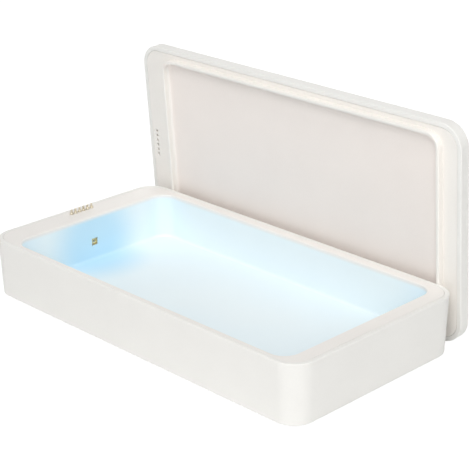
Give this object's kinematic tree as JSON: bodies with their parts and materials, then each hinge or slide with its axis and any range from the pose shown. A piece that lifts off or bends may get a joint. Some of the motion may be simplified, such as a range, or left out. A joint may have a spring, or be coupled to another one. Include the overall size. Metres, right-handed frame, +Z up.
{
  "type": "phone sanitizer box",
  "caption": "Shallow rounded box that bathes a phone in UV light, with a loose lid leaning on its back edge, sprung charging contacts in the rim and a push button at its end.",
  "frame": {"origin": "on the table under the middle of the tray, 1 mm below the middle of the shell's flat underside, which stands on feet", "axes": "+X along the tray away from the charging contacts, -Y the tray's front, +Y the side that the lid leans on, +Z up"},
  "size_m": [0.2016, 0.1159, 0.105],
  "materials": {
    "shell_plastic": "fine satin moulded off-white",
    "liner_plastic": "fine satin moulded white",
    "rubber": "matt",
    "screw_steel": "zinc plated",
    "board_green": "solder mask",
    "socket_steel": "drawn stainless",
    "black_plastic": "moulded",
    "plunger_plastic": "moulded",
    "button_plastic": "satin",
    "light_pipe": "clear",
    "gold_plate": "gold plated",
    "cable_grey": "flat ribbon",
    "board_white": "white solder mask",
    "quartz": "clear",
    "copper": "enamelled wire",
    "ferrite": "dark sheet"
  },
  "bodies": {
    "tray": {"base_shell": "shell_plastic", "base_liner": "liner_plastic", "rubber_feet": "rubber", "case_screws": "screw_steel", "control_board": "board_green", "board_screws": "screw_steel", "usb_socket": "socket_steel", "tact_switch": "black_plastic", "indicator_lens": "light_pipe", "contact_block": "black_plastic", "contact_barrels": "gold_plate", "contact_cable": "cable_grey", "led_board_left": "board_white", "led_board_right": "board_white", "uv_led_left": "gold_plate", "uv_led_right": "gold_plate", "uv_led_windows": "quartz", "led_cables": "cable_grey"},
    "lid": {"lid_shell": "shell_plastic", "lid_inner_cover": "shell_plastic", "lid_contact_block": "black_plastic", "lid_contacts": "gold_plate", "charging_coil": "copper", "ferrite_sheet": "ferrite", "charger_board": "board_green", "lid_cable": "cable_grey"},
    "button": {"power_button": "button_plastic", "switch_plunger": "plunger_plastic"},
    "pin_1": {"contact_pin_1": "gold_plate"},
    "pin_2": {"contact_pin_2": "gold_plate"},
    "pin_3": {"contact_pin_3": "gold_plate"},
    "pin_4": {"contact_pin_4": "gold_plate"},
    "pin_5": {"contact_pin_5": "gold_plate"},
    "pin_6": {"contact_pin_6": "gold_plate"}
  },
  "joints": [
    {"name": "lift_lid", "type": "slide", "parent": "tray", "child": "lid", "axis": [0, 0, 1], "range_m": [0, 0.06]},
    {"name": "press_button", "type": "slide", "parent": "tray", "child": "button", "axis": [1, 0, 0], "range_m": [0, 0.0004], "stiffness_N_per_m": 4000},
    {"name": "contact_pin_1_slide", "type": "slide", "parent": "tray", "child": "pin_1", "axis": [0, 0, -1], "range_m": [0, 0.0012], "stiffness_N_per_m": 600},
    {"name": "contact_pin_2_slide", "type": "slide", "parent": "tray", "child": "pin_2", "axis": [0, 0, -1], "range_m": [0, 0.0012], "stiffness_N_per_m": 600},
    {"name": "contact_pin_3_slide", "type": "slide", "parent": "tray", "child": "pin_3", "axis": [0, 0, -1], "range_m": [0, 0.0012], "stiffness_N_per_m": 600},
    {"name": "contact_pin_4_slide", "type": "slide", "parent": "tray", "child": "pin_4", "axis": [0, 0, -1], "range_m": [0, 0.0012], "stiffness_N_per_m": 600},
    {"name": "contact_pin_5_slide", "type": "slide", "parent": "tray", "child": "pin_5", "axis": [0, 0, -1], "range_m": [0, 0.0012], "stiffness_N_per_m": 600},
    {"name": "contact_pin_6_slide", "type": "slide", "parent": "tray", "child": "pin_6", "axis": [0, 0, -1], "range_m": [0, 0.0012], "stiffness_N_per_m": 600}
  ]
}
